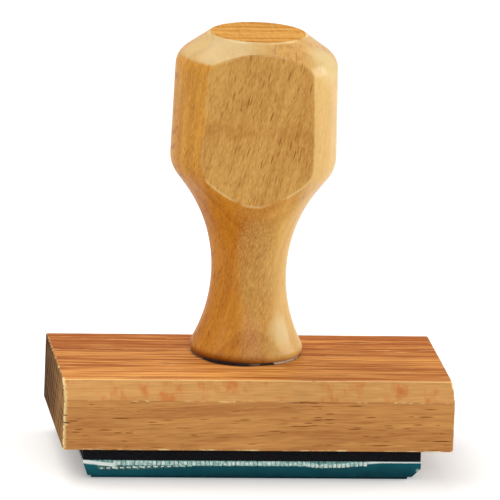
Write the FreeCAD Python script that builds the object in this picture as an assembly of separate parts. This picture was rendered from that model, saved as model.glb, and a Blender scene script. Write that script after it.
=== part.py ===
# Wooden rubber stamp with a turned beech handle, modelled as its separate pieces.
# Millimetres, +Z up. The origin is the middle of the printing face, on which the stamp stands.
# +X runs along the block and +Y to its back: the sloping edge of the block faces the user, at -Y.

import FreeCAD
import Part
import math
import os

from FreeCAD import Vector

# Block: a planed beech strip cut to length, with a sloping front top edge
block_length = 73.0
block_depth = 38.0
block_height = 12.5
slope_run = 4.0
slope_drop = 3.0
block_edge_round = 0.35

# Handle: turned beech, given by the corners of its outline before they are rounded.
# Each stage is a height along the axis, from the seat on the block up to the crown.
foot_seat_radius = 9.75
foot_radius = 10.95
waist_radius = 7.05
head_radius = 15.6
head_top_radius = 15.15
crown_radius = 8.9
foot_stage = 0.9
lower_neck_stage = 8.1
waist_stage = 16.0
upper_neck_stage = 11.2
head_stage = 20.8
crown_stage = 4.5

foot_round = 1.3
lower_neck_round = 29.5
upper_neck_round = 28.0
cheek_round = 6.0
shoulder_round = 4.0
crown_round = 0.7

# The head is planed flat at its front and back, and the edges of the flats are sanded.
# The handle was glued on a few degrees off square and behind the middle of the block.
flat_spacing = 23.0
flat_edge_round = 0.6
handle_turn = -2.5
handle_setback = 6.0

# Glue between the foot and the block, squeezed out a little all round
glue_thickness = 0.1
glue_squeeze = 0.35

# Countersunk wood screw, driven up from under the block
screw_length = 30.0
screw_plain_length = 13.0
screw_shank_radius = 1.75
screw_core_radius = 1.2
screw_point_length = 3.0
screw_head_radius = 3.5
screw_head_rim = 0.25
screw_head_sink = 0.4
screw_slot_width = 0.9
screw_slot_depth = 1.0
shank_clearance = 0.15
core_clearance = 0.05
head_clearance = 0.05
pilot_spare_depth = 1.0

# Sponge layer that lets the die give, with an adhesive film on each side
sponge_thickness = 2.1
film_thickness = 0.15
pad_margin_left = 4.0
pad_margin_right = 5.7
pad_margin_front = 1.5
pad_margin_back = 1.5

# Rubber die: a plate trimmed with a knife, so that its sides lean in towards the printing face
plate_thickness = 2.9
trim_left = 1.0
trim_front = 0.4
trim_back = 0.4
trim_corner = 1.6

# Printing relief: a ruled frame, each line wider at its root than at its face
relief_depth = 0.6
relief_margin = 0.8
relief_draft = 0.2
frame_line_width = 1.0
rule_line_width = 0.5
rule_rows = 4
rule_column = 18.0

# Levels, from the printing face up
plate_bottom = relief_depth
plate_top = plate_bottom + plate_thickness
sponge_bottom = plate_top + film_thickness
sponge_top = sponge_bottom + sponge_thickness
block_bottom = sponge_top + film_thickness
block_top = block_bottom + block_height
seat_level = block_top + glue_thickness

# The outline that the films, the sponge and the top of the die share
pad_left = -block_length / 2 + pad_margin_left
pad_right = block_length / 2 - pad_margin_right
pad_front = -block_depth / 2 + pad_margin_front
pad_back = block_depth / 2 - pad_margin_back

handle_axis = Vector(0, handle_setback, 0)
UP = Vector(0, 0, 1)


def prism(points, run):
    """A closed outline, given as points, pushed along run."""
    face = Part.Face(Part.makePolygon(points + points[:1]))
    return face.extrude(run)


def turned(edges):
    """Edges of a half section, with X as the radius, turned about the handle's axis."""
    section = Part.Face(Part.Wire(edges))
    solid = section.revolve(Vector(0, 0, 0), UP, 360)
    solid.translate(handle_axis)
    return solid


def straight_edges(points):
    """The straight edges of a closed outline of (radius, height) corners."""
    ends = points[1:] + points[:1]
    return [Part.LineSegment(Vector(a[0], 0, a[1]), Vector(b[0], 0, b[1])).toShape()
            for a, b in zip(points, ends)]


def rounded_edges(corners):
    """The edges of a closed outline of (radius, height, rounding) corners.

    A rounding that the sides beside its corner have no room for is made as large as they allow.
    """
    count = len(corners)
    places = [Vector(radius, 0, height) for radius, height, rounding in corners]
    turns = []
    for i, place in enumerate(places):
        before = place - places[i - 1]
        after = places[(i + 1) % count] - place
        turns.append(before.getAngle(after))
    reach = [corner[2] * math.tan(turn / 2) for corner, turn in zip(corners, turns)]
    shares = [1.0] * count
    for i in range(count):
        j = (i + 1) % count
        side = (places[j] - places[i]).Length
        taken = reach[i] + reach[j]
        if taken > 0.99 * side:
            share = 0.99 * side / taken
            shares[i] = min(shares[i], share)
            shares[j] = min(shares[j], share)
    edges = []
    starts = []
    ends = []
    for i, place in enumerate(places):
        cut = reach[i] * shares[i]
        back = (places[i - 1] - place).normalize()
        onward = (places[(i + 1) % count] - place).normalize()
        starts.append(place + back * cut)
        ends.append(place + onward * cut)
        if cut > 0:
            middle = place + (back + onward).normalize() * cut * (
                1 / math.cos(turns[i] / 2) - 1) / math.tan(turns[i] / 2)
            edges.append(Part.Arc(starts[i], middle, ends[i]).toShape())
        if i > 0:
            edges.append(Part.LineSegment(ends[i - 1], starts[i]).toShape())
    edges.append(Part.LineSegment(ends[-1], starts[0]).toShape())
    return Part.__sortEdges__(edges)


def make_block():
    """The strip's section, with its slope at the front, pushed along X, then bored for the screw."""
    left = -block_length / 2
    front = -block_depth / 2
    section = [
        Vector(left, front, block_bottom),
        Vector(left, -front, block_bottom),
        Vector(left, -front, block_top),
        Vector(left, front + slope_run, block_top),
        Vector(left, front, block_top - slope_drop),
    ]
    strip = prism(section, Vector(block_length, 0, 0))
    strip = strip.makeFillet(block_edge_round, strip.Edges)
    return strip.cut(screw_hole(seat_level))


def handle_corners():
    """The corners of the handle's half section, from the axis at the seat round to the crown."""
    stages = [0, foot_stage, lower_neck_stage, waist_stage, upper_neck_stage, head_stage, crown_stage]
    levels = [seat_level + sum(stages[:i + 1]) for i in range(len(stages))]
    radii = [foot_seat_radius, foot_radius, waist_radius, waist_radius, head_radius,
             head_top_radius, crown_radius]
    roundings = [0, foot_round, lower_neck_round, upper_neck_round, cheek_round,
                 shoulder_round, crown_round]
    outside = list(zip(radii, levels, roundings))
    return [(0, levels[0], 0)] + outside + [(0, levels[-1], 0)]


def make_handle():
    """The turned form, planed to two flats at the head, with a pilot hole up its foot."""
    corners = handle_corners()
    form = turned(rounded_edges(corners))
    top = corners[-1][1]
    reach = 2 * head_radius
    planed = Part.makeBox(2 * reach, flat_spacing, top - seat_level,
                          Vector(-reach, -flat_spacing / 2, seat_level))
    planed.rotate(Vector(0, 0, 0), UP, handle_turn)
    planed.translate(handle_axis)
    form = form.common(planed)
    form = form.makeFillet(flat_edge_round, flat_edges(form))
    core = screw_levels()[2]
    return form.cut(screw_hole(core))


def flat_edges(form):
    """The edges where the two flats meet the turned surface."""
    turn = math.radians(handle_turn)
    across = Vector(-math.sin(turn), math.cos(turn), 0)
    found = []
    for edge in form.Edges:
        middle = edge.valueAt((edge.FirstParameter + edge.LastParameter) / 2) - handle_axis
        if abs(abs(middle.dot(across)) - flat_spacing / 2) < 1e-4:
            found.append(edge)
    return found


def make_handle_glue():
    """A thin ring of glue round the screw, bevelled where it is squeezed out past the foot."""
    bore = screw_shank_radius + shank_clearance
    return turned(straight_edges([
        (bore, block_top),
        (foot_seat_radius + glue_squeeze, block_top),
        (foot_seat_radius, seat_level),
        (bore, seat_level),
    ]))


def screw_levels():
    """The heights of the screw's head, plain shank, core and point."""
    head = block_bottom + screw_head_sink
    neck = head + screw_head_rim + screw_head_radius - screw_shank_radius
    core = head + screw_plain_length
    tip = head + screw_length
    return head, neck, core, tip


def make_wood_screw():
    """Countersunk head with a slot, plain shank, and the threaded part drawn at its core."""
    head, neck, core, tip = screw_levels()
    blank = turned(straight_edges([
        (0, head),
        (screw_head_radius, head),
        (screw_head_radius, head + screw_head_rim),
        (screw_shank_radius, neck),
        (screw_shank_radius, core - screw_shank_radius + screw_core_radius),
        (screw_core_radius, core),
        (screw_core_radius, tip - screw_point_length),
        (0, tip),
    ]))
    slot = Part.makeBox(4 * screw_head_radius, screw_slot_width, 2 * screw_slot_depth,
                        handle_axis + Vector(-2 * screw_head_radius, -screw_slot_width / 2,
                                             head - screw_slot_depth))
    return blank.cut(slot)


def screw_hole(wide_top):
    """The hole for the screw: its countersink, the shank's bore up to wide_top, then the pilot hole."""
    head, neck, core, tip = screw_levels()
    mouth = screw_head_radius + head_clearance
    bore = screw_shank_radius + shank_clearance
    pilot = screw_core_radius + core_clearance
    bottom = tip + pilot_spare_depth
    below = block_bottom - screw_head_radius
    return turned(straight_edges([
        (0, below),
        (mouth, below),
        (mouth, head + screw_head_rim),
        (bore, head + screw_head_rim + mouth - bore),
        (bore, wide_top),
        (pilot, wide_top),
        (pilot, bottom - screw_point_length),
        (0, bottom),
    ]))


def pad_layer(bottom, thickness):
    """A layer with the outline that the films and the sponge share."""
    return Part.makeBox(pad_right - pad_left, pad_back - pad_front, thickness,
                        Vector(pad_left, pad_front, bottom))


def tapered(left, right, front, back, spread):
    """A relief block: its face at z 0, each side leaning out by spread at the root."""
    wires = []
    for level, grow in ((0, 0), (relief_depth, spread)):
        corners = [
            Vector(left - grow, front - grow, level),
            Vector(right + grow, front - grow, level),
            Vector(right + grow, back + grow, level),
            Vector(left - grow, back + grow, level),
        ]
        wires.append(Part.makePolygon(corners + corners[:1]))
    return Part.makeLoft(wires, True, True)


def make_relief():
    """The frame and its rules, inset from the trimmed edges of the plate."""
    left = pad_left + trim_left + relief_margin
    right = pad_right - trim_corner - relief_margin
    front = pad_front + trim_front + relief_margin
    back = pad_back - trim_back - relief_margin
    line = frame_line_width
    inside = tapered(left + line, right - line, front + line, back - line, -relief_draft)
    frame = tapered(left, right, front, back, relief_draft).cut(inside)
    rules = []
    half = rule_line_width / 2
    pitch = (back - front) / rule_rows
    for row in range(1, rule_rows):
        middle = front + row * pitch
        rules.append(tapered(left + half, right - half, middle - half, middle + half, relief_draft))
    column = left + rule_column
    rules.append(tapered(column - half, column + half, front + half, back - half, relief_draft))
    return frame.multiFuse(rules)


def make_die():
    """The plate is the part that its side outline and its end outline share; the relief is under it."""
    side = prism([
        Vector(pad_left, pad_front, plate_top),
        Vector(pad_left + trim_left, pad_front, plate_bottom),
        Vector(pad_right - trim_corner, pad_front, plate_bottom),
        Vector(pad_right, pad_front, plate_bottom + trim_corner),
        Vector(pad_right, pad_front, plate_top),
    ], Vector(0, pad_back - pad_front, 0))
    end = prism([
        Vector(pad_left, pad_front, plate_top),
        Vector(pad_left, pad_front + trim_front, plate_bottom),
        Vector(pad_left, pad_back - trim_back, plate_bottom),
        Vector(pad_left, pad_back, plate_top),
    ], Vector(pad_right - pad_left, 0, 0))
    return side.common(end).fuse(make_relief()).removeSplitter()


def single_solid(shape):
    """The one solid of a shape, which is what every piece here is."""
    if len(shape.Solids) != 1:
        raise ValueError(f"{len(shape.Solids)} solids where one was meant")
    return shape.Solids[0]


def main():
    pieces = {
        "handle": make_handle(),
        "handle_glue": make_handle_glue(),
        "wood_screw": make_wood_screw(),
        "block": make_block(),
        "upper_adhesive": pad_layer(sponge_top, film_thickness),
        "sponge_layer": pad_layer(sponge_bottom, sponge_thickness),
        "lower_adhesive": pad_layer(plate_top, film_thickness),
        "die": make_die(),
    }
    os.makedirs("parts", exist_ok=True)
    for name, shape in pieces.items():
        solid = single_solid(shape)
        solid.exportStep(f"parts/{name}.step")
        print(f"{name}: {solid.Volume:.1f} mm3, valid {solid.isValid()}")


main()
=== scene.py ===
# The looks of a wooden rubber stamp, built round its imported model, in metres and in the model's own frame:
# +X along the block, +Y to its back, +Z up the handle, with the printing face on the floor at zero.

import math

import bpy
from mathutils import Matrix, Vector, noise


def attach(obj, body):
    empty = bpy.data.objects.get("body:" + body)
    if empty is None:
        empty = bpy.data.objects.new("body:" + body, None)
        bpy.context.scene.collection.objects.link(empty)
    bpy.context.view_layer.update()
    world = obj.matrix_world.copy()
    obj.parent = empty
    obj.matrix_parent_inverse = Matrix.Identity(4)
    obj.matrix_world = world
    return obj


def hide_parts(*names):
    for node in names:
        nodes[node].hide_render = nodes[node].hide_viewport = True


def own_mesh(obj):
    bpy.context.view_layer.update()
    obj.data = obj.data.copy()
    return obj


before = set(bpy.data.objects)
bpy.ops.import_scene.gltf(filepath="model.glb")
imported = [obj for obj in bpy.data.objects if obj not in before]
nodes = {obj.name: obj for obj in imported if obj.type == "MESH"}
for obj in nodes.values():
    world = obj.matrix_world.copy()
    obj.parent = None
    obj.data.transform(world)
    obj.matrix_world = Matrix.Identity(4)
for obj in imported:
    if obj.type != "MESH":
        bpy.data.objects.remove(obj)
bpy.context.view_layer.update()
scene = bpy.context.scene
MM = 0.001  # sizes are written in millimetres, and each is times MM where the scene takes it

# The view. The photograph was taken with a long lens from a little left of square and a little above, and
# the stamp leans to the right in it by the camera's own tilt. Its frame is 500 pixels square.
PHOTO_SIDE_PX = 500
FOCAL_LENGTH_PX = 8032.7
SENSOR_WIDTH = 36.0
camera_distance = 1500 * MM
camera_azimuth = math.radians(-7.23)
camera_elevation = math.radians(13.9)
camera_tilt = math.radians(2.3)
view_centre = Vector((-0.66, 0, 39.64)) * MM


def new_object(name, data):
    """An object of that name in the scene, at the origin."""
    made = bpy.data.objects.new(name, data)
    scene.collection.objects.link(made)
    return made


away = Vector((math.sin(camera_azimuth) * math.cos(camera_elevation),
               -math.cos(camera_azimuth) * math.cos(camera_elevation), math.sin(camera_elevation)))
level = Vector((math.cos(camera_azimuth), math.sin(camera_azimuth), 0))
upright = away.cross(level)
camera_x = level * math.cos(camera_tilt) + upright * math.sin(camera_tilt)
camera_y = upright * math.cos(camera_tilt) - level * math.sin(camera_tilt)
camera = new_object("camera", bpy.data.cameras.new("camera"))
camera.data.sensor_width = SENSOR_WIDTH
camera.data.lens = FOCAL_LENGTH_PX * SENSOR_WIDTH / PHOTO_SIDE_PX
camera.data.clip_start = 0.1
camera.data.clip_end = 20
stand = Matrix((camera_x, camera_y, away)).transposed().to_4x4()
stand.translation = view_centre + away * camera_distance
camera.matrix_world = stand
scene.camera = camera
scene.view_settings.view_transform = "Standard"

# Light. A wide soft box above and behind, one at the right that the varnish mirrors, and weaker ones at the
# left and in front. With the room's grey they show a face about as bright as its colour is written.
soft_boxes = [
    # name, middle, aimed at, width, depth, radiance
    ("overhead", (-0.22, 0.26, 0.66), (0, 0, 0.06), 0.70, 0.54, 2.7),
    ("right", (0.66, 0.02, 0.24), (0, 0, 0.05), 0.46, 0.40, 4.4),
    ("left", (-0.62, -0.22, 0.34), (0, 0, 0.04), 0.30, 0.40, 1.2),
    ("front", (0.10, -1.10, 0.62), (0, 0, 0.04), 0.90, 0.60, 2.2),
]
for name, middle, aimed_at, width, depth, radiance in soft_boxes:
    lamp = bpy.data.lights.new("soft_box_" + name, "AREA")
    lamp.shape = "RECTANGLE"
    lamp.size = width
    lamp.size_y = depth
    lamp.energy = radiance * math.pi * width * depth
    box = new_object(lamp.name, lamp)
    box.location = middle
    box.rotation_euler = (Vector(middle) - Vector(aimed_at)).to_track_quat("Z", "Y").to_euler()

# The room and its floor: an even grey room, and a sheet of white paper far wider than the view. The eye sees
# both as white; the paper keeps the stamp's soft shadow.
room_level = 0.45
floor_side, floor_drop = 6.0, 0.02 * MM
paper_glow = 0.22


def linear(hex_colour):
    """An sRGB colour such as C18E46 as the linear RGBA that the shaders read."""
    def channel(text):
        value = int(text, 16) / 255
        return value / 12.92 if value <= 0.04045 else ((value + 0.055) / 1.055) ** 2.4
    return tuple(channel(hex_colour[i:i + 2]) for i in (0, 2, 4)) + (1.0,)


def set_inputs(node, *first, **named):
    """Sets inputs of a node: the first ones in their order, the others under the socket's name with
    underscores for spaces, or under an underscore and its number. Each is a value, a colour written as sRGB
    hex, the output that feeds it, or a node whose first output in use feeds it."""
    for key, value in {**{"_%d" % number: value for number, value in enumerate(first)}, **named}.items():
        socket = node.inputs[int(key[1:]) if key[0] == "_" else key.replace("_", " ")]
        if isinstance(value, bpy.types.Node):
            value = next(output for output in value.outputs if output.enabled)
        if isinstance(value, bpy.types.NodeSocket):
            node.id_data.links.new(value, socket)
        else:
            socket.default_value = linear(value) if isinstance(value, str) else value


def add_node(tree, kind, *first, **named):
    """A new node of a tree. Its kind is written without ShaderNode, a name in small letters is a property of
    the node, and the rest are inputs, as set_inputs takes them."""
    node = tree.nodes.new(kind if "Node" in kind else "ShaderNode" + kind)
    for key in [key for key in named if key.islower()]:
        setattr(node, key, named.pop(key))
    set_inputs(node, *first, **named)
    return node


def seen_by_eye(tree):
    """Full on the rays that the eye sees by: straight, through something clear, or mirrored."""
    ray = add_node(tree, "LightPath")
    seen = add_node(tree, "Math", ray.outputs["Is Camera Ray"], ray.outputs["Is Transmission Ray"],
                    operation="MAXIMUM")
    return add_node(tree, "Math", seen, ray.outputs["Is Glossy Ray"], operation="MAXIMUM")


def new_piece(name, points, faces):
    """An object of that name whose mesh has those points and faces."""
    mesh = bpy.data.meshes.new(name)
    mesh.from_pydata(points, [], faces)
    return new_object(name, mesh)


room = bpy.data.worlds.new("room")
room.use_nodes = True
room.node_tree.nodes.clear()
room_light = add_node(room.node_tree, "Background", Color=(1, 1, 1, 1), Strength=room_level)
backdrop = add_node(room.node_tree, "Background", Color=(1, 1, 1, 1), Strength=1.0)
sky = add_node(room.node_tree, "MixShader", seen_by_eye(room.node_tree), room_light, backdrop)
add_node(room.node_tree, "OutputWorld", Surface=sky)
scene.world = room

half = floor_side / 2
floor = new_piece("floor", [(-half, -half, 0), (half, -half, 0), (half, half, 0), (-half, half, 0)],
                  [(0, 1, 2, 3)])
floor.location.z = -floor_drop
paper = bpy.data.materials.new("white_paper")
paper.use_nodes = True
paper.node_tree.nodes.clear()
paper_sheet = add_node(paper.node_tree, "BsdfDiffuse", Color="F2F1EF")
lift = add_node(paper.node_tree, "Math", seen_by_eye(paper.node_tree), paper_glow, operation="MULTIPLY")
paper_lift = add_node(paper.node_tree, "Emission", Color=(1, 1, 1, 1), Strength=lift)
paper_seen = add_node(paper.node_tree, "AddShader", paper_sheet, paper_lift)
add_node(paper.node_tree, "OutputMaterial", Surface=paper_seen)
floor.data.materials.append(paper)

# Block. A strip of planed beech sawn to length, with its front top edge planed to a slope. Its long faces are
# sanded and varnished; the sawn ends drank the varnish and went dark, and painted shade darkens them further.
# The handle is screwed on from below.
block_left, block_front, block_back = -36.5, -19.0, 19.0
slope_run, slope_drop = 4.0, 3.0
slope_normal = Vector((0, -slope_drop, slope_run)).normalized()
grain_rise = math.radians(1.6)
block_grain = Matrix(((0, slope_normal.y, slope_normal.z), (0, slope_normal.z, -slope_normal.y), (-1, 0, 0)))
block_grain = block_grain @ Matrix.Rotation(grain_rise, 3, "Y")
soft_edge = {"interpolation_type": "SMOOTHSTEP"}


def new_material(name):
    """A material of that name, its tree and shader, and where a spot is and which way it faces."""
    material = bpy.data.materials.new(name)
    material.use_nodes = True
    tree = material.node_tree
    place = add_node(tree, "TexCoord")
    return material, tree, tree.nodes["Principled BSDF"], place.outputs["Object"], place.outputs["Normal"]


def painted(tree, under, over, *masks, **settings):
    """The colour over laid on the colour under, as far as all the masks let it through."""
    share = masks[0]
    for mask in masks[1:]:
        share = add_node(tree, "Math", share, mask, operation="MULTIPLY")
    return add_node(tree, "Mix", share, data_type="RGBA", _6=under, _7=over, **settings)


def streaks(tree, spot, size, detail=2.0, roughness=0.5):
    """Noise whose streaks have that size along the three directions of spot, and in its unit."""
    at = add_node(tree, "VectorMath", spot, size, operation="DIVIDE")
    return add_node(tree, "TexNoise", at, Scale=1.0, Detail=detail, Roughness=roughness)


def near(tree, spot, middle, none, full, **settings):
    """Full within the distance full from a middle and none beyond the distance none, all in mm."""
    distance = add_node(tree, "VectorMath", spot, Vector(middle) * MM, operation="DISTANCE")
    return add_node(tree, "MapRange", distance, From_Min=none * MM, From_Max=full * MM, **soft_edge,
                    **settings)


def beech_figure(tree, grain, pale, deep, ray_colour, ring_width, wander, ray_kinds, ray_chance, crowd,
                 fibre_size, strengths):
    """Beech as it is in the log, so each cut through it shows its own figure. Its rays are thin upright
    ribbons that run outwards from the heart: short dark dashes on one face, broad patches on the face a
    quarter turn from it, and fine lines on an end. grain holds the directions round the log, outwards and
    along it, ray_kinds the ribbons' spacing and size in mm along those, and crowd the place round which they
    are strongest, how far that reaches and how strong they are beyond it. Gives the coordinates in the log
    in mm, the colour, the rays, the fibres, the rings and how far a face is an end."""
    place = add_node(tree, "TexCoord")
    in_log = add_node(tree, "Mapping", place.outputs["Object"], Scale=(1 / MM, 1 / MM, 1 / MM),
                      Rotation=Matrix(grain).to_euler(), Location=(31.7, 12.3, 57.1))
    bends = add_node(tree, "TexNoise", in_log, Scale=0.035, Detail=1.0)
    bend = add_node(tree, "VectorMath", bends.outputs["Color"], (0.5, 0.5, 0.5), operation="SUBTRACT")
    log = add_node(tree, "VectorMath", bend, (wander, wander, 0), in_log, operation="MULTIPLY_ADD")

    rays = 0.0
    for spacing, size in ray_kinds:
        cell = add_node(tree, "VectorMath", log, spacing, operation="DIVIDE")
        found = add_node(tree, "TexVoronoi", cell, Scale=1.0)
        offset = add_node(tree, "VectorMath", cell, found.outputs["Position"], operation="SUBTRACT")
        in_ribbon = add_node(tree, "VectorMath", offset, tuple(2 * s / w for s, w in zip(spacing, size)),
                             operation="MULTIPLY")
        reach = add_node(tree, "VectorMath", in_ribbon, operation="LENGTH")
        chance = add_node(tree, "SeparateColor", Color=found.outputs["Color"])
        full_size = add_node(tree, "Math", chance.outputs["Green"], 0.8, 0.3, operation="MULTIPLY_ADD")
        share = add_node(tree, "Math", reach, full_size, operation="DIVIDE")
        ribbon = add_node(tree, "MapRange", share, From_Min=1.15, From_Max=0.6, **soft_edge)
        marked = add_node(tree, "MapRange", chance.outputs["Red"], From_Min=ray_chance[0],
                          From_Max=ray_chance[1])
        ribbon = add_node(tree, "Math", ribbon, marked, operation="MULTIPLY")
        rays = add_node(tree, "Math", ribbon, rays, operation="MAXIMUM")
    crowd_middle, crowd_reach, beyond = crowd
    crowding = near(tree, place.outputs["Object"], crowd_middle, crowd_reach, 0.4 * crowd_reach,
                    To_Min=beyond)
    rays = add_node(tree, "Math", rays, crowding, operation="MULTIPLY")

    outwards = add_node(tree, "SeparateXYZ", log).outputs["Y"]
    year = add_node(tree, "Math", outwards, ring_width, operation="DIVIDE")
    season = add_node(tree, "Math", year, operation="FRACT")
    late_wood = add_node(tree, "MapRange", season, From_Min=0.45, From_Max=0.97, **soft_edge)
    which_year = add_node(tree, "Math", year, operation="FLOOR")
    hardness = add_node(tree, "TexWhiteNoise", noise_dimensions="1D", W=which_year)
    ring = add_node(tree, "Math", late_wood, hardness, operation="MULTIPLY")

    middle = 0.5 - 0.25 * strengths["rings"] - 0.5 * (strengths["fibres"] + strengths["streaks"]
                                                      + strengths["clouds"])
    depth = add_node(tree, "Math", ring, strengths["rings"], middle, operation="MULTIPLY_ADD")
    for band, size in (("streaks", (1.3, 1.3, 26.0)), ("clouds", (9.0, 9.0, 18.0)), ("fibres", fibre_size)):
        fibres = streaks(tree, log, size)
        depth = add_node(tree, "Math", fibres, strengths[band], depth, operation="MULTIPLY_ADD")
    wood = painted(tree, pale, deep, depth)
    wood = painted(tree, wood, ray_colour, rays, strengths["rays"])

    facing = add_node(tree, "VectorMath", place.outputs["Normal"], grain[2], operation="DOT_PRODUCT")
    across = add_node(tree, "Math", facing, operation="ABSOLUTE")
    end = add_node(tree, "MapRange", across, From_Min=0.35, From_Max=0.95, **soft_edge)
    return log, wood, rays, fibres, ring, end


def dress(name, material):
    """Gives that material alone to a node of the part."""
    nodes[name].data.materials.clear()
    nodes[name].data.materials.append(material)


# Varnished beech, planed: satin, with the grain just felt through a thin clear coat
block_beech, tree, shader, spot, normal = new_material("varnished_beech_planed")
log, wood, rays, fibres, ring, end = beech_figure(
    tree, block_grain, pale="D59A57", deep="A26337", ray_colour="70380F", ring_width=2.6, wander=1.6,
    ray_kinds=[((0.62, 8.0, 6.2), (0.25, 7.0, 4.6)), ((0.44, 5.0, 3.4), (0.19, 4.0, 2.2))],
    ray_chance=(0.26, 0.85), crowd=((0, -19, 12), 80, 0.6), fibre_size=(0.28, 0.28, 4.6),
    strengths={"rings": 0.25, "fibres": 1.1, "streaks": 1.2, "clouds": 0.5, "rays": 0.85})
at_x, at_y, at_z = add_node(tree, "SeparateXYZ", spot).outputs
facing = add_node(tree, "SeparateXYZ", normal)

# The top took more varnish than the planed front: orange, with long fine streaks and a few pale and dark
# scratches, deepest at the back.
topside = add_node(tree, "MapRange", facing.outputs["Z"], From_Min=0.9, From_Max=0.99, **soft_edge)
lines = 0.0
for share, size, detail in ((0.28, (2.6, 2.4, 60.0), 1.0), (0.38, (0.80, 0.80, 26.0), 2.0),
                            (0.34, (0.34, 0.34, 10.0), 2.0)):
    lines = add_node(tree, "Math", streaks(tree, log, size, detail), share, lines, operation="MULTIPLY_ADD")
backward = add_node(tree, "MapRange", at_y, From_Min=-8 * MM, From_Max=14 * MM, To_Min=-0.15, To_Max=0.2)
streaked = add_node(tree, "MapRange", lines, clamp=False, From_Min=0.4, From_Max=0.6)
streaked = add_node(tree, "Math", streaked, backward, operation="ADD")
sideways = add_node(tree, "Math", at_x, operation="ABSOLUTE")
sideways = add_node(tree, "MapRange", sideways, From_Min=6 * MM, From_Max=30 * MM, To_Max=0.2)
streaked = add_node(tree, "Math", streaked, sideways, operation="ADD")
streaked = add_node(tree, "Math", ring, 0.2, streaked, operation="MULTIPLY_ADD", use_clamp=True)
orange = painted(tree, "F2AA58", "9C4A12", streaked)
wood = painted(tree, wood, orange, topside, 0.82)
scratches = streaks(tree, log, (0.6, 0.5, 8.0), 3.0, 0.6)
for full, none, colour in ((0.72, 0.62, "F8D494"), (0.29, 0.37, "7C3A12")):
    scratched = add_node(tree, "MapRange", scratches, From_Min=none, From_Max=full, To_Max=0.6, **soft_edge)
    wood = painted(tree, wood, colour, scratched, topside)

# The slope is cut along the rays, which lie open on it as soft reddish flakes with paler wood between them.
on_slope = add_node(tree, "VectorMath", normal, slope_normal, operation="DOT_PRODUCT")
slope_face = add_node(tree, "MapRange", on_slope, From_Min=0.985, From_Max=0.998, **soft_edge)
flakes_at = add_node(tree, "Mapping", spot, Scale=(0.36 / MM, 0.14 / MM, 0.14 / MM),
                     Location=(4.4, 2.0, 0.3))
flakes = add_node(tree, "TexNoise", flakes_at, Scale=1.0, Detail=4.0, Roughness=0.6)
bare = painted(tree, "E3B372", "BE8242", fibres)
wood = painted(tree, wood, bare, slope_face, 0.75)
red_flakes = add_node(tree, "MapRange", flakes, From_Min=0.5, From_Max=0.7, To_Max=0.7, **soft_edge)
wood = painted(tree, wood, "C46C30", red_flakes, slope_face)

# The sawn ends: brown where the varnish sank in, painted darker still as shade and darkest at the back, with
# a dark line for each year's ring, fine rays across the rings and the faint slanting strokes of the saw
ray_lines = streaks(tree, log, (0.3, 5.0, 60.0))
saw_at = add_node(tree, "Mapping", spot, Rotation=(math.radians(24), 0, 0),
                  Scale=(0.1 / MM, 0.09 / MM, 1.1 / MM))
saw_strokes = add_node(tree, "TexNoise", saw_at, Scale=1.0, Detail=3.0)
forward = add_node(tree, "MapRange", at_y, From_Min=block_back * MM, From_Max=block_front * MM,
                   To_Min=-0.68, To_Max=0.12)
paleness = add_node(tree, "Math", saw_strokes, 0.85, forward, operation="MULTIPLY_ADD")
paleness = add_node(tree, "Math", ray_lines, 0.7, paleness, operation="MULTIPLY_ADD")
paleness = add_node(tree, "Math", ring, -0.55, paleness, operation="MULTIPLY_ADD", use_clamp=True)
sawn_end = painted(tree, "3E2416", "A67A4A", paleness)
wood = painted(tree, wood, sawn_end, end)

# Pale arrises, partly rubbed back to bare wood and partly painted highlight where the edges catch the light:
# nearly whole along the top of the slope, in patches along the others, and in short ticks down the ends in
# front, where the saw broke the fibres out
off_faces = add_node(tree, "Math", facing.outputs["Z"], on_slope, operation="MAXIMUM")
for axis in ("X", "Y", "Z"):
    size = add_node(tree, "Math", facing.outputs[axis], operation="ABSOLUTE")
    off_faces = add_node(tree, "Math", off_faces, size, operation="MAXIMUM")
arris = add_node(tree, "MapRange", off_faces, From_Min=0.9998, From_Max=0.99, **soft_edge)
chips = streaks(tree, spot, (MM / 0.35, MM / 0.8, MM / 0.8), 5.0, 0.7)
ticks = streaks(tree, spot, (MM / 0.5, MM / 0.9, MM / 1.9), 3.0)
in_front = add_node(tree, "MapRange", at_y, From_Min=-13.0 * MM, From_Max=-14.5 * MM)
high = add_node(tree, "MapRange", at_z, From_Min=17.4 * MM, From_Max=17.9 * MM)
high = add_node(tree, "Math", high, in_front, operation="MULTIPLY")
low = add_node(tree, "MapRange", at_z, From_Min=6.4 * MM, From_Max=6.0 * MM)
endways = add_node(tree, "Math", facing.outputs["X"], operation="ABSOLUTE")
endways = add_node(tree, "MapRange", endways, From_Min=0.05, From_Max=0.3)
at_left = add_node(tree, "MapRange", at_x, From_Min=30 * MM, From_Max=-30 * MM, To_Min=0.2)
ticked = add_node(tree, "Math", endways, in_front, operation="MULTIPLY")
ticked = add_node(tree, "Math", ticked, at_left, operation="MULTIPLY")
rubbed_and_lit = add_node(tree, "Mix", ticked, data_type="FLOAT", _2=chips, _3=ticks)
for where, gain in ((high, 0.24), (low, 0.08), (ticked, 0.12)):
    rubbed_and_lit = add_node(tree, "Math", where, gain, rubbed_and_lit, operation="MULTIPLY_ADD")
rubbed_and_lit = add_node(tree, "MapRange", rubbed_and_lit, From_Min=0.52, From_Max=0.72, To_Max=0.95, **soft_edge)
wood = painted(tree, wood, "FAE0A2", arris, rubbed_and_lit)
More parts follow.
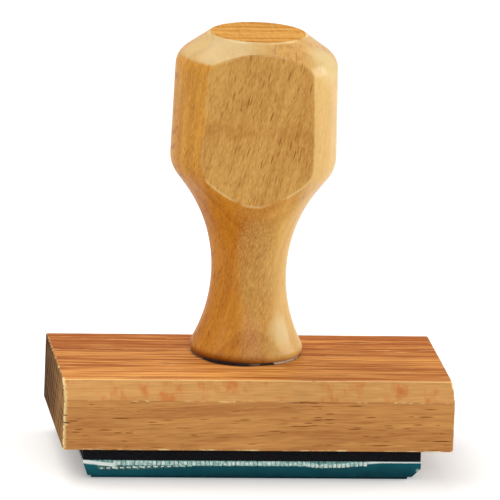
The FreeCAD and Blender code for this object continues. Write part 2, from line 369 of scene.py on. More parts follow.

# A narrow strip of the left end's front edge, frayed by the saw, is painted pale, partly as highlight; the
# saw also left two short drying cracks in it.
strip_edge = add_node(tree, "Math", ticks, 1.6 * MM, at_x, operation="MULTIPLY_ADD")
strip = add_node(tree, "MapRange", strip_edge, From_Min=-34.9 * MM, From_Max=-35.6 * MM, To_Max=0.7,
                 **soft_edge)
side_on = add_node(tree, "Math", 1.0, end, operation="SUBTRACT", use_clamp=True)
wood = painted(tree, wood, "F2D898", strip, in_front, side_on)
crack_fall = 0.05
for crack_level, crack_length in ((11.2, 1.5), (12.6, 0.9)):
    from_crack = add_node(tree, "Math", at_x, crack_fall, at_z, operation="MULTIPLY_ADD")
    level_there = (crack_level + block_left * crack_fall) * MM
    from_crack = add_node(tree, "Math", from_crack, level_there, operation="SUBTRACT")
    from_crack = add_node(tree, "Math", from_crack, operation="ABSOLUTE")
    crack = add_node(tree, "MapRange", from_crack, From_Min=0.17 * MM, From_Max=0.05 * MM, To_Max=0.9)
    along = add_node(tree, "MapRange", at_x, From_Min=(block_left + crack_length) * MM,
                     From_Max=(block_left + 0.5 * crack_length) * MM)
    wood = painted(tree, wood, "301A10", crack, along, in_front)

# Painted shadow of the gap under the handle's foot, in a ring round it and widest at the left in front
foot_middle, foot_reach = Vector((0, 6, 18.4)), 10.95
from_foot = add_node(tree, "VectorMath", spot, foot_middle * MM, operation="SUBTRACT")
foot_distance = add_node(tree, "VectorMath", from_foot, operation="LENGTH")
front_left = add_node(tree, "VectorMath", from_foot, (-0.4, -0.917, 0), operation="DOT_PRODUCT")
gap_shadow_reach = add_node(tree, "MapRange", front_left, From_Min=8.4 * MM, From_Max=10.9 * MM,
                       To_Min=(foot_reach - 0.9) * MM, To_Max=(foot_reach + 0.1) * MM)
past_gap_shadow = add_node(tree, "Math", foot_distance, gap_shadow_reach, operation="SUBTRACT")
gap_shadow = add_node(tree, "MapRange", past_gap_shadow, From_Min=0.45 * MM, From_Max=-0.15 * MM, To_Max=0.9,
                 **soft_edge)
wood = painted(tree, wood, "2E1A1A", gap_shadow)
rough = add_node(tree, "MapRange", end, To_Min=0.62, To_Max=0.95)
height = add_node(tree, "Math", fibres, rays, operation="SUBTRACT")
bump = add_node(tree, "Bump", Height=height, Strength=0.5, Distance=0.03 * MM)
set_inputs(shader, Base_Color=wood, Roughness=rough, Specular_IOR_Level=0.04, Normal=bump)
dress("block", block_beech)

# Handle. Beech turned on a lathe, then its head planed flat at the front and back, sanded and varnished. Its
# grain runs upwards, and the rays show as short dark dashes on the flats.
handle_axis = Vector((0, 6, 0))
flats_turned = math.radians(-2.5)
flat_reach, crown_level = 11.5, 80.0
across_flats = Vector((-math.sin(flats_turned), math.cos(flats_turned), 0))
along_flats = Vector((math.cos(flats_turned), math.sin(flats_turned), 0))
grain_lean = math.radians(12.0)
handle_grain = ((math.cos(grain_lean), 0, -math.sin(grain_lean)), (0, 1, 0),
                (math.sin(grain_lean), 0, math.cos(grain_lean)))

# Varnished beech, turned: the varnish stands glossy on what the lathe left, lies thin and matt on the sanded
# flats, and sank into the end grain of the crown
handle_beech, tree, shader, spot, normal = new_material("varnished_beech_turned")
log, wood, rays, fibres, ring, end = beech_figure(
    tree, handle_grain, pale="DFAD60", deep="AE7430", ray_colour="8E4A18", ring_width=3.4, wander=2.5,
    ray_kinds=[((0.58, 9.0, 2.9), (0.28, 7.0, 2.3)), ((0.40, 5.0, 1.9), (0.20, 4.0, 1.4))],
    ray_chance=(0.05, 0.80), crowd=((3, -5.5, 66), 14, 0.55), fibre_size=(0.22, 0.22, 1.1),
    strengths={"rings": 0.25, "fibres": 1.3, "streaks": 0.9, "clouds": 0.8, "rays": 0.85})
at_x, at_y, at_z = add_node(tree, "SeparateXYZ", spot).outputs
facing = add_node(tree, "SeparateXYZ", normal)
from_axis = add_node(tree, "VectorMath", spot, handle_axis * MM, operation="SUBTRACT")
squarely = add_node(tree, "VectorMath", normal, across_flats, operation="DOT_PRODUCT")
squarely = add_node(tree, "Math", squarely, operation="ABSOLUTE")
on_flat = add_node(tree, "MapRange", squarely, From_Min=0.985, From_Max=0.9995, **soft_edge)
on_crown = add_node(tree, "MapRange", facing.outputs["Z"], From_Min=0.9, From_Max=0.97, **soft_edge)
on_turned = add_node(tree, "Math", on_flat, on_crown, operation="ADD")
on_turned = add_node(tree, "Math", 1.0, on_turned, operation="SUBTRACT", use_clamp=True)

# Painted light and shade: turned sides facing right are painted pale yellow, those facing left warmer orange.
rightward = add_node(tree, "VectorMath", normal, along_flats, operation="DOT_PRODUCT")
patches = streaks(tree, log, (5.0, 5.0, 14.0))
swayed = add_node(tree, "Math", patches, 0.6, rightward, operation="MULTIPLY_ADD")
right_side_light = add_node(tree, "MapRange", swayed, From_Min=0.45, From_Max=1.0, To_Max=0.55, **soft_edge)
below_shoulder = add_node(tree, "MapRange", facing.outputs["Z"], From_Min=0.7, From_Max=0.4, To_Min=0.6)
wood = painted(tree, wood, "E0BA6A", right_side_light, below_shoulder, on_turned)
left_side_shade = add_node(tree, "MapRange", swayed, From_Min=0.9, From_Max=-0.2, **soft_edge)
down_neck = add_node(tree, "MapRange", at_z, From_Min=58 * MM, From_Max=46 * MM, **soft_edge)
warmth = painted(tree, "FFEDA8", "F4D47C", down_neck)
wood = painted(tree, wood, warmth, left_side_shade, on_turned, blend_type="MULTIPLY")

# Where the lathe cut into the waist, the growth rings come out in front as a tall arch of rough, duller wood.
arch_middle, arch_size = Vector((0.8, -7.4, 38)), Vector((4.2, 4.2, 13.5))
arch_at = add_node(tree, "VectorMath", from_axis, arch_middle * MM, operation="SUBTRACT")
arch_at = add_node(tree, "VectorMath", arch_at, arch_size * MM, operation="DIVIDE")
arch_reach = add_node(tree, "VectorMath", arch_at, operation="LENGTH")
arch_reach = add_node(tree, "Math", fibres, 0.5, arch_reach, operation="MULTIPLY_ADD")
arch = add_node(tree, "MapRange", arch_reach, From_Min=1.35, From_Max=0.95, To_Max=0.5, **soft_edge)
arch_wood = add_node(tree, "MapRange", fibres, From_Min=0.3, From_Max=0.7)
arch_wood = painted(tree, "DAAA5A", "A07434", arch_wood)
wood = painted(tree, wood, arch_wood, arch)

# Painted highlights: the shoulder is painted paler at the left and at the corner on the right, and a pale
# patch is painted on the right of the foot, where the varnish would shine.
on_shoulder = add_node(tree, "MapRange", facing.outputs["Z"], From_Min=0.52, From_Max=0.7, **soft_edge)
left_highlight = add_node(tree, "MapRange", at_x, From_Min=6 * MM, From_Max=-5 * MM, **soft_edge)
toward_back = add_node(tree, "Math", patches, -12 * MM, at_y, operation="MULTIPLY_ADD")
toward_back = add_node(tree, "MapRange", toward_back, From_Min=-4 * MM, From_Max=6 * MM, To_Min=1.0,
                       To_Max=0.1, **soft_edge)
corner_highlight = near(tree, spot, (12.4, -1.5, 76.2), 5.8, 1.8)
left_highlight = add_node(tree, "Math", left_highlight, on_shoulder, operation="MULTIPLY")
left_highlight = add_node(tree, "Math", left_highlight, toward_back, operation="MULTIPLY")
foot_highlight = near(tree, spot, (6.0, -1.2, 24.4), 3.8, 1.2)
painted_highlight = add_node(tree, "Math", left_highlight, corner_highlight, operation="MAXIMUM")
painted_highlight = add_node(tree, "Math", painted_highlight, foot_highlight, operation="MAXIMUM")
highlight_mottle = add_node(tree, "MapRange", patches, From_Min=0.3, From_Max=0.7, To_Min=0.72, To_Max=0.5)
wood = painted(tree, wood, "DDC486", painted_highlight, on_turned, highlight_mottle)

# A darker band where fingers held the head, rubbed in across the flat
band_level = 63.4
from_band = add_node(tree, "Math", at_z, band_level * MM, operation="SUBTRACT")
from_band = add_node(tree, "Math", from_band, operation="ABSOLUTE")
band = add_node(tree, "Math", patches, -2.5 * MM, from_band, operation="MULTIPLY_ADD")
band = add_node(tree, "MapRange", band, From_Min=0.8 * MM, From_Max=-1.0 * MM, To_Max=0.32, **soft_edge)
smudges = add_node(tree, "TexNoise", spot, Scale=0.5 / MM, Detail=3.0)
smudged = add_node(tree, "MapRange", smudges, From_Min=0.35, From_Max=0.6)
wood = painted(tree, wood, "AE6A26", band, on_flat, smudged)

# The crown's end grain: orange, streaked by the growth rings
crown_lines = streaks(tree, log, (6.0, 0.8, 30.0), 3.0, 0.6)
crown_rays = streaks(tree, log, (0.26, 4.0, 30.0))
crown_depth = add_node(tree, "Math", crown_rays, 0.6, -0.3, operation="MULTIPLY_ADD")
crown_depth = add_node(tree, "Math", ring, 0.35, crown_depth, operation="MULTIPLY_ADD")
crown_depth = add_node(tree, "Math", crown_lines, crown_depth, operation="ADD")
crown_depth = add_node(tree, "MapRange", crown_depth, From_Min=0.22, From_Max=0.92)
end_grain = painted(tree, "E4AC58", "B06A20", crown_depth)
wood = painted(tree, wood, end_grain, on_crown)

# Cream lines where the flats and the crown meet the turned wood, sanded through in places and partly painted
# highlight where the rounded edges catch the light
from_flats = add_node(tree, "VectorMath", from_axis, across_flats, operation="DOT_PRODUCT")
from_flats = add_node(tree, "Math", from_flats, operation="ABSOLUTE")
near_flat = add_node(tree, "MapRange", from_flats, From_Min=(flat_reach - 0.3) * MM,
                     From_Max=(flat_reach - 0.12) * MM)
near_crown = add_node(tree, "MapRange", at_z, From_Min=(crown_level - 0.5) * MM,
                      From_Max=(crown_level - 0.25) * MM)
rim = add_node(tree, "Math", near_flat, near_crown, operation="MAXIMUM")
sanded = add_node(tree, "TexNoise", spot, Scale=0.22 / MM, Detail=3.0)
sanded = add_node(tree, "MapRange", sanded, From_Min=0.42, From_Max=0.62, **soft_edge)
arcs = add_node(tree, "MapRange", at_z, From_Min=60 * MM, From_Max=54 * MM, To_Min=0.15, To_Max=0.4)
arcs = add_node(tree, "Math", near_crown, 0.4, arcs, operation="MULTIPLY_ADD", use_clamp=True)
wood = painted(tree, wood, "F5DC9C", rim, on_turned, arcs, sanded)

# Painted shade darkens the underside of the foot, most at the left.
foot_shade = add_node(tree, "MapRange", at_z, From_Min=20.8 * MM, From_Max=18.7 * MM, **soft_edge)
shade_left = add_node(tree, "MapRange", at_x, From_Min=5 * MM, From_Max=-3 * MM, To_Min=0.15, To_Max=0.62)
wood = painted(tree, wood, "5A2A20", foot_shade, shade_left)
rough = add_node(tree, "MapRange", on_crown, To_Min=0.5, To_Max=0.85)
thick_varnish = add_node(tree, "MapRange", at_z, From_Min=42 * MM, From_Max=60 * MM, To_Min=0.32, To_Max=0.5)
held_side = add_node(tree, "MapRange", rightward, From_Min=-0.9, From_Max=-0.2, To_Min=0.35)
varnish = add_node(tree, "Math", on_turned, thick_varnish, operation="MULTIPLY")
varnish = add_node(tree, "Math", varnish, held_side, operation="MULTIPLY")
height = add_node(tree, "Math", fibres, rays, operation="SUBTRACT")
bump = add_node(tree, "Bump", Height=height, Strength=0.5, Distance=0.03 * MM)
set_inputs(shader, Base_Color=wood, Roughness=rough, Specular_IOR_Level=0.06, Coat_Weight=varnish,
           Coat_Roughness=0.2, Normal=bump)
dress("handle", handle_beech)

# Glue. Brown wood glue that squeezed out round the foot when the handle was screwed down, set to a ragged
# bead. Round the left it is painted dark as shadow in the gap; at the right in front, pale as painted
# highlight.
glue_bottom, glue_top = 18.4, 18.5
glue_bore, foot_seat_radius, bead_reach, bead_rise = 1.9, 9.75, 0.52, 0.42
ring_steps, bead_steps = 240, 5
usual_thick, lobe_thick, least_thick = 0.50, 0.45, 0.2
lobes_at = (math.radians(-112), math.radians(-62))  # from the right, turning to the front
ring_points = []
for step in range(ring_steps):
    angle = 2 * math.pi * step / ring_steps
    out = Vector((math.cos(angle), math.sin(angle), 0))
    lumps = noise.noise(out * 4.0) * 0.3 + noise.noise(out * 13.0 + Vector((7, 3, 1))) * 0.2
    lobes = max(math.cos(angle - lobe_at) for lobe_at in lobes_at)
    thick = min(max(usual_thick + lumps + lobe_thick * lobes, least_thick), 1.0)
    section = [(glue_bore, glue_bottom), (glue_bore, glue_top), (foot_seat_radius - 0.2, glue_top)]
    for k in range(bead_steps + 1):
        turn = math.pi / 2 * (1 - k / bead_steps)
        section.append((foot_seat_radius + bead_reach * thick * math.cos(turn),
                        glue_bottom + (0.1 + bead_rise * thick) * math.sin(turn)))
    ring_points.append([handle_axis + out * r + Vector((0, 0, z)) for r, z in section])
around = len(ring_points[0])
glue_bead = new_piece("glue_bead", [point * MM for section in ring_points for point in section],
                      [(s * around + k, s * around + (k + 1) % around,
                        (s + 1) % ring_steps * around + (k + 1) % around, (s + 1) % ring_steps * around + k)
                       for s in range(ring_steps) for k in range(around)])
glue_bead.data.shade_smooth()

# Set glue: dull brown, with painted shadow and highlight in it. Each shade stands at its mm to the right.
glue_span = 12.0
glue_colours_and_light = [(-9.8, "7A4C28"), (-8.4, "1A1114"), (-0.6, "1C1416"), (0.6, "6A5344"), (1.9, "7A624E"),
               (2.5, "120A0A"), (4.4, "160C0A"), (5.2, "B8A894"), (8.2, "A08C72"), (9.4, "7A4C28")]
wood_glue, tree, shader, spot, normal = new_material("set_wood_glue")
at_x, at_y, at_z = add_node(tree, "SeparateXYZ", spot).outputs
specks = add_node(tree, "TexNoise", spot, Scale=0.7 / MM, Detail=3.0)
speckled = add_node(tree, "MapRange", specks, From_Min=0.36, From_Max=0.62, To_Min=-0.6, To_Max=0.6)
rightward = add_node(tree, "VectorMath", spot, (0.992, -0.126, 0), operation="DOT_PRODUCT")
rightward = add_node(tree, "Math", speckled, MM, rightward, operation="MULTIPLY_ADD")
rightward = add_node(tree, "MapRange", rightward, From_Min=-glue_span * MM, From_Max=glue_span * MM)
glue_colour = add_node(tree, "ValToRGB", Fac=rightward)
while len(glue_colour.color_ramp.elements) < len(glue_colours_and_light):
    glue_colour.color_ramp.elements.new(0.5)
for element, (shade_at, colour) in zip(glue_colour.color_ramp.elements, glue_colours_and_light):
    element.position = (shade_at / glue_span + 1) / 2
    element.color = linear(colour)
behind = add_node(tree, "MapRange", at_y, From_Min=4 * MM, From_Max=7 * MM)
glue_colour = painted(tree, glue_colour.outputs["Color"], "5A3A22", behind)
bump = add_node(tree, "Bump", Height=specks, Strength=0.4, Distance=0.05 * MM)
set_inputs(shader, Base_Color=glue_colour, Roughness=0.5, Specular_IOR_Level=0.2, Normal=bump)
glue_bead.data.materials.append(wood_glue)
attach(glue_bead, "stamp")
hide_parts("handle_glue")

# Screw. A slotted countersunk steel wood screw, 3.5 x 30 mm, driven up from under the block. Its thread was
# rolled, runs out to nothing where the plain shank begins, and narrows to the point.
thread_bottom, thread_top, thread_pitch = 19.4, 36.1, 1.4
core_radius, crest_radius = 1.15, 1.72

# Zinc plating on steel: a grey shine, dulled in fine lines by brushing
screw_steel, tree, shader, spot, normal = new_material("zinc_plated_steel_brushed")
marks = streaks(tree, spot, (MM / 2, MM / 2, MM / 14), 3.0)
plating = painted(tree, "C9C8C2", "9C9A92", marks)
brushed = add_node(tree, "MapRange", marks, To_Min=0.22, To_Max=0.5)
set_inputs(shader, Base_Color=plating, Metallic=1.0, Roughness=brushed)


def new_growth(name, made, **named):
    """A Geometry Nodes tree with one geometry output, and the outputs of its group input. Each name is an
    input's, and its value the kind of that input."""
    tree = bpy.data.node_groups.new(name, "GeometryNodeTree")
    for key, kind in named.items():
        tree.interface.new_socket(key.replace("_", " "), in_out="INPUT", socket_type="NodeSocket" + kind)
    tree.interface.new_socket(made, in_out="OUTPUT", socket_type="NodeSocketGeometry")
    return tree, tree.nodes.new("NodeGroupInput").outputs


def grown(name, tree, start, **sizes):
    """A piece of that name: the plain mesh that the tree makes of the mesh start, with those sizes set."""
    carrier = new_object(name + "_start", start)
    modifier = carrier.modifiers.new(tree.name, "NODES")
    modifier.node_group = tree
    for socket in tree.interface.items_tree:
        key = socket.name.replace(" ", "_")
        if socket.in_out == "INPUT" and key in sizes:
            modifier[socket.identifier] = sizes[key]
    mesh = bpy.data.meshes.new_from_object(carrier.evaluated_get(bpy.context.evaluated_depsgraph_get()))
    bpy.data.objects.remove(carrier)
    return new_object(name, mesh)


tree, given = new_growth("rolled_thread", "Threaded", Screw="Geometry", Bottom="Float", Length="Float",
                                Turns="Float", Core_radius="Float", Crest_height="Float", Steel="Material")
helix = add_node(tree, "GeometryNodeCurveSpiral", Resolution=48, Rotations=given["Turns"],
                 Start_Radius=given["Core radius"], End_Radius=given["Core radius"], Height=given["Length"])
along = add_node(tree, "GeometryNodeSplineParameter")
point_taper = add_node(tree, "MapRange", along, From_Min=0.82, From_Max=1.0, To_Min=1.0, To_Max=0.12)
here = add_node(tree, "GeometryNodeInputPosition")
at_x, at_y, at_z = add_node(tree, "SeparateXYZ", here).outputs
near_x = add_node(tree, "Math", at_x, point_taper, operation="MULTIPLY")
near_y = add_node(tree, "Math", at_y, point_taper, operation="MULTIPLY")
height = add_node(tree, "Math", at_z, given["Bottom"], operation="ADD")
up_screw = add_node(tree, "Math", near_y, handle_axis.y * MM, operation="ADD")
on_screw = add_node(tree, "CombineXYZ", X=near_x, Y=up_screw, Z=height)
placed = add_node(tree, "GeometryNodeSetPosition", helix, Position=on_screw)
steady = add_node(tree, "GeometryNodeSetCurveNormal", mode="Z_UP", Curve=placed)
run_out = add_node(tree, "MapRange", along, From_Min=0.0, From_Max=0.08, To_Min=0.02, To_Max=1.0)
run_out = add_node(tree, "Math", run_out, point_taper, operation="MULTIPLY")
ridge = add_node(tree, "GeometryNodeCurvePrimitiveCircle", Resolution=4, Radius=given["Crest height"])
thread = add_node(tree, "GeometryNodeCurveToMesh", Curve=steady, Profile_Curve=ridge, Scale=run_out,
                  Fill_Caps=True)
both = add_node(tree, "GeometryNodeJoinGeometry", given["Screw"])
set_inputs(both, thread)
real = add_node(tree, "GeometryNodeRealizeInstances", both)
steel = add_node(tree, "GeometryNodeSetMaterial", real, Material=given["Steel"])
add_node(tree, "NodeGroupOutput", steel)

plain_screw = nodes["wood_screw"].data.copy()
plain_screw.materials.clear()
thread_length = thread_top - thread_bottom
wood_screw = grown("threaded_wood_screw", tree, plain_screw, Bottom=thread_bottom * MM,
                   Length=thread_length * MM, Turns=thread_length / thread_pitch,
                   Core_radius=core_radius * MM, Crest_height=(crest_radius - core_radius) * MM,
                   Steel=screw_steel)
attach(wood_screw, "stamp")
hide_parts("wood_screw")

# Upper film. Double-sided acrylic tape that holds the sponge under the block, cut flush with it. It is clear,
# so its edge takes on the dark of the sponge and the brown of the wood.
tape, tree, shader, spot, normal = new_material("clear_acrylic_tape")
smears = add_node(tree, "TexNoise", spot, Scale=0.5 / MM, Detail=2.0)
tape_colour = painted(tree, "241C16", "4A3A2A", smears)
set_inputs(shader, Base_Color=tape_colour, Roughness=0.35, IOR=1.47)
dress("upper_adhesive", tape)

# Sponge. A sheet of black closed-cell rubber, knife-cut, so its sides show cut cells as small pits and its
# edges are a little ragged. It is glued to the block above and the die below.
sponge_left, sponge_right, sponge_front, sponge_back = -32.5, 30.8, -17.5, 17.5
sponge_bottom, sponge_top = 3.65, 5.75
cell_side, pit_depth, sponge_squash = 0.24, 0.16, 0.6
cells_to_mm, cell_reach, corner, rows = 1.9, 0.42, 0.3, 10
outline = []
corners = [Vector((sponge_left, sponge_front)), Vector((sponge_right, sponge_front)),
           Vector((sponge_right, sponge_back)), Vector((sponge_left, sponge_back))]
for start, end_point in zip(corners, corners[1:] + corners[:1]):
    side = (end_point - start).normalized()
    span = (end_point - start).length
    steps = round((span - 2 * corner) / cell_side)
    inward = Vector((-side.y, side.x))
    for step in range(steps + 1):
        outline.append((start + side * (corner + (span - 2 * corner) * step / steps), inward))
sponge_points, sponge_faces = [], []
for spot, inward in outline:
    for row in range(rows + 1):
        share = row / rows
        level_z = sponge_bottom + (sponge_top - sponge_bottom) * share
        seat = min(share, 1 - share) * rows
        where = Vector((spot.x, spot.y, level_z))
        to_cell = noise.voronoi(where * cells_to_mm)[0][0]
        pit = max(0.0, cell_reach - to_cell) / cell_reach
        sink = pit_depth * pit + 0.03 * abs(noise.noise(where * 0.9))
        sink *= min(seat / 1.5, 1.0)
        sink += 0.05 * (0.5 + 0.5 * noise.noise(Vector((spot.x * 0.35, spot.y * 0.35, 4.0))))
        sponge_points.append(Vector((spot.x + inward.x * sink, spot.y + inward.y * sink, level_z)) * MM)
columns = len(outline)
for column in range(columns):
    for row in range(rows):
        a = column * (rows + 1) + row
        b = (column + 1) % columns * (rows + 1) + row
        sponge_faces.append((a, b, b + 1, a + 1))
sponge_faces.append([column * (rows + 1) + rows for column in range(columns)])
sponge_faces.append([column * (rows + 1) for column in reversed(range(columns))])
sponge_sheet = new_piece("sponge_sheet", sponge_points, sponge_faces)

# Black rubber, cut through its cells: matt, with a faint grey where the walls between cells catch the light
cell_rubber, tree, shader, spot, normal = new_material("closed_cell_rubber_cut")
cells = add_node(tree, "TexVoronoi", spot, Scale=3.2 / MM)
skin = add_node(tree, "MapRange", cells, From_Min=0.15, From_Max=0.6)
rubber = painted(tree, "060508", "121318", skin)
bump = add_node(tree, "Bump", Height=cells, Strength=0.6, Distance=0.08 * MM)
set_inputs(shader, Base_Color=rubber, Roughness=0.85, Specular_IOR_Level=0.12, Normal=bump)
sponge_sheet.data.materials.append(cell_rubber)
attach(sponge_sheet, "stamp")
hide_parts("sponge_layer")
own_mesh(sponge_sheet)

# Lower film. Clear double-sided tape between the sponge and the die. It was trimmed with a toothed blade and
# pressed over, so at the front it hangs down the die's side as a glossy mint lip, crimped at each tooth.
film_left, film_right, film_front, film_back = -32.5, 30.8, -17.5, 17.5
film_bottom, film_top, lip_step = 3.5, 3.65, 0.12
# x, how far the lip hangs below the film's underside, and how far it stands out
lip_shape = [(-32.5, 0.62, 0.16), (-30.2, 0.85, 0.16), (-29.2, 1.75, 0.20), (-23.0, 1.70, 0.20),
             (-17.0, 1.35, 0.20), (-11.5, 0.95, 0.22),
             (5.0, 0.85, 0.22), (9.0, 0.95, 0.24), (11.5, 1.25, 0.26), (16.8, 1.15, 0.24), (19.5, 0.70, 0.18),
             (21.0, 0.35, 0.14), (23.5, 0.16, 0.12), (30.8, 0.14, 0.10)]


def along_lip(x, column):
    """The lip's measure in that column of lip_shape, at x."""
    for low, high in zip(lip_shape, lip_shape[1:]):
        if x <= high[0]:
            share = (x - low[0]) / (high[0] - low[0])
            return low[column] + (high[column] - low[column]) * share
    return lip_shape[-1][column]


lip_columns = round((film_right - film_left) / lip_step)
film_points, film_faces = [], []
for step in range(lip_columns + 1):
    x = film_left + (film_right - film_left) * step / lip_columns
    hang = along_lip(x, 1) * (1 + 0.16 * noise.noise(Vector((x * 1.3, 2.0, 0)))
                              + 0.10 * noise.noise(Vector((x * 4.1, 9.0, 0))))
    out = along_lip(x, 2) * (1 + 0.3 * noise.noise(Vector((x * 0.8, 5.0, 0))))
    for y, z in ((film_back, film_top), (film_front + 0.06, film_top),
                 (film_front - 0.5 * out, film_top - 0.02), (film_front - out, film_top - 0.2),
                 (film_front - 0.8 * out, film_bottom - 0.6 * hang), (film_front + 0.01, film_bottom - hang),
                 (film_front + 0.08, film_bottom - 0.8 * hang), (film_front + 0.08, film_bottom),
                 (film_back, film_bottom)):
        film_points.append(Vector((x, y, z)) * MM)
round_film = 9
for step in range(lip_columns):
    for k in range(round_film):
        a = step * round_film + k
        b = step * round_film + (k + 1) % round_film
        film_faces.append((a, b, b + round_film, a + round_film))
film_faces.append(list(reversed(range(round_film))))
film_faces.append([lip_columns * round_film + k for k in range(round_film)])
tape_lip = new_piece("tape_lip", film_points, film_faces)

# Clear acrylic tape over dark rubber: glossy, and teal where the rubber shows through, with a slanting sliver
# at the left and the tail at the right painted white as highlight
lip_tape, tree, shader, spot, normal = new_material("clear_acrylic_tape_stretched")
at_x, at_y, at_z = add_node(tree, "SeparateXYZ", spot).outputs
pulls = streaks(tree, spot, (MM / 2.6, MM / 0.5, MM / 0.5), 3.0)
pulled = add_node(tree, "MapRange", pulls, From_Min=0.38, From_Max=0.62)
seen_through = painted(tree, "1B5A61", "7DB2AA", pulled)
slant = add_node(tree, "MapRange", at_x, From_Min=-32.5 * MM, From_Max=-26.4 * MM,
                 To_Min=3.35 * MM, To_Max=2.72 * MM)
from_slant = add_node(tree, "Math", at_z, slant, operation="SUBTRACT")
from_slant = add_node(tree, "Math", from_slant, operation="ABSOLUTE")
sliver = add_node(tree, "MapRange", from_slant, From_Min=0.4 * MM, From_Max=0.28 * MM, **soft_edge)
sliver_end = add_node(tree, "MapRange", at_x, From_Min=-25.6 * MM, From_Max=-27.0 * MM, **soft_edge)
sliver = add_node(tree, "Math", sliver, sliver_end, operation="MULTIPLY")
tail = add_node(tree, "MapRange", at_x, From_Min=20.0 * MM, From_Max=21.5 * MM, To_Max=0.85, **soft_edge)
white = add_node(tree, "Math", sliver, tail, operation="MAXIMUM")
low_on_lip = add_node(tree, "MapRange", at_z, From_Min=2.75 * MM, From_Max=2.5 * MM, To_Max=0.8)
seen_through = painted(tree, seen_through, "6F9A9A", low_on_lip, blend_type="MULTIPLY")
lip_colour = painted(tree, seen_through, "E4EFEA", white)
set_inputs(shader, Base_Color=lip_colour, Roughness=0.22, IOR=1.47)
tape_lip.data.materials.append(lip_tape)
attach(tape_lip, "print_die")
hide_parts("lower_adhesive")

# The crimps: between one tooth and the next the tape was pressed into a small pale pillow. One row runs along
# the lip, and a second, looser one hangs below it at the left.

# Clear tape full of tiny breaks: milky where it was pressed hardest, and still glossy
crimped, tree, shader, spot, normal = new_material("clear_acrylic_tape_crimped")
milk = add_node(tree, "TexNoise", spot, Scale=1.4 / MM, Detail=2.0)
milk = add_node(tree, "MapRange", milk, From_Min=0.35, From_Max=0.62)
pillow = painted(tree, "7FB2AA", "DCEEE7", milk)
set_inputs(shader, Base_Color=pillow, Roughness=0.25, IOR=1.47)

tree, given = new_growth("crimps", "Crimps", Row="Geometry", Pitch="Float", Width="Float",
                               Height="Float", Depth="Float", Unevenness="Float", Seed="Int", Tape="Material")
row_line = add_node(tree, "GeometryNodeMeshToCurve", Mesh=given["Row"])
places = add_node(tree, "GeometryNodeResampleCurve", mode="LENGTH", Curve=row_line, Length=given["Pitch"])
full_size = add_node(tree, "CombineXYZ", given["Width"], given["Depth"], given["Height"])
block_of_tape = add_node(tree, "GeometryNodeMeshCube", Size=(1, 1, 1))
ball = add_node(tree, "GeometryNodeSubdivisionSurface", Mesh=block_of_tape, Level=2, Edge_Crease=0.55)
smallest = add_node(tree, "Math", 1.0, given["Unevenness"], operation="SUBTRACT")
largest = add_node(tree, "Math", 1.0, given["Unevenness"], operation="ADD")
chance = add_node(tree, "FunctionNodeRandomValue", data_type="FLOAT", _2=smallest, _3=largest,
                  Seed=given["Seed"])
sizes = add_node(tree, "VectorMath", full_size, operation="SCALE", Scale=chance)
lean = add_node(tree, "FunctionNodeRandomValue", data_type="FLOAT", _2=-0.18, _3=0.18, Seed=given["Seed"])
turn = add_node(tree, "CombineXYZ", Y=lean)
pillows = add_node(tree, "GeometryNodeInstanceOnPoints", Points=places, Instance=ball, Rotation=turn,
                   Scale=sizes)
real = add_node(tree, "GeometryNodeRealizeInstances", pillows)
smooth = add_node(tree, "GeometryNodeSetShadeSmooth", real)
made = add_node(tree, "GeometryNodeSetMaterial", smooth, Material=given["Tape"])
add_node(tree, "NodeGroupOutput", made)

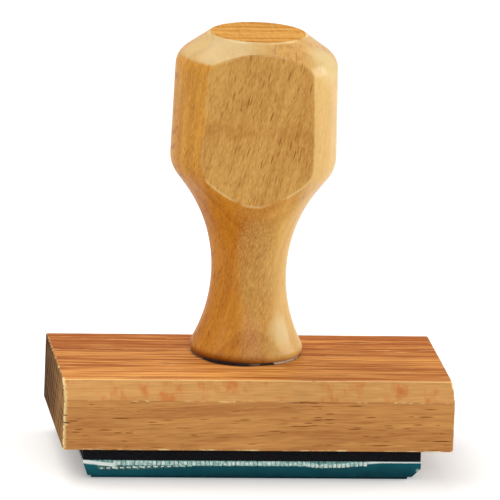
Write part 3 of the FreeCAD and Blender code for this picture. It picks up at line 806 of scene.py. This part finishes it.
row_steps = 39
crimp_rows = [
    # name, from x, to x, how far down the lip, pitch, width, height, depth, unevenness, seed
    ("crimps_upper", -26.6, 20.3, 0.42, 0.82, 0.69, 0.82, 0.20, 0.10, 3),
    ("crimps_lower", -29.0, -12.6, 1.48, 1.20, 0.80, 0.26, 0.16, 0.40, 8),
]
for name, first_x, last_x, down, pitch, width, tall, deep, unevenness, seed in crimp_rows:
    row_points = []
    for step in range(row_steps + 1):
        x = first_x + (last_x - first_x) * step / row_steps
        fall = down + (1.2 * max(along_lip(x, 1) - 0.95, 0) if x > 0 else 0)
        if name == "crimps_lower":
            fall = down - 0.6 * step / row_steps
        row_points.append(Vector((x, film_front - 0.5 * along_lip(x, 2) - 0.04,
                                  film_bottom + 0.08 - fall + 0.05 * noise.noise(Vector((x, 0, 0))))) * MM)
    row_mesh = bpy.data.meshes.new(name + "_line")
    row_mesh.from_pydata(row_points, [(step, step + 1) for step in range(row_steps)], [])
    crimps = grown(name, tree, row_mesh, Pitch=pitch * MM, Width=width * MM, Height=tall * MM,
                   Depth=deep * MM, Unevenness=unevenness, Seed=seed, Tape=crimped)
    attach(crimps, "print_die")

# Die. A moulded plate of teal rubber with its raised printing face underneath, cut out with a knife, whose
# strokes show as fine lines along its sides. It is stuck to the sponge by the lower film.

# Solid rubber: a deep teal with a dull sheen, painted lighter towards the top as sheen, with a painted glint
# on one cut corner
die_rubber, tree, shader, spot, normal = new_material("moulded_rubber_knife_cut")
at_x, at_y, at_z = add_node(tree, "SeparateXYZ", spot).outputs
strokes = streaks(tree, spot, (MM / 0.12, MM / 0.12, MM / 3), 4.0)
mottle = add_node(tree, "TexNoise", spot, Scale=0.35 / MM, Detail=3.0)
upwards = add_node(tree, "MapRange", at_z, From_Min=0.7 * MM, From_Max=3.5 * MM)
lighter = add_node(tree, "Math", mottle, 0.5, -0.1, operation="MULTIPLY_ADD")
lighter = add_node(tree, "Math", upwards, 0.6, lighter, operation="MULTIPLY_ADD", use_clamp=True)
leftward = add_node(tree, "MapRange", at_x, From_Min=-8 * MM, From_Max=-28 * MM, To_Max=0.35, **soft_edge)
lighter = add_node(tree, "Math", lighter, leftward, operation="ADD", use_clamp=True)
teal = painted(tree, "03303A", "106470", lighter)
corner_glint = near(tree, spot, (30.3, -17.2, 1.9), 0.55, 0.15, To_Max=0.8)
teal = painted(tree, teal, "A9C4C2", corner_glint)
rough = add_node(tree, "MapRange", strokes, From_Min=0.3, From_Max=0.7, To_Min=0.32, To_Max=0.55)
bump = add_node(tree, "Bump", Height=strokes, Strength=0.5, Distance=0.04 * MM)
set_inputs(shader, Base_Color=teal, Roughness=rough, Specular_IOR_Level=0.1, Normal=bump)
dress("die", die_rubber)
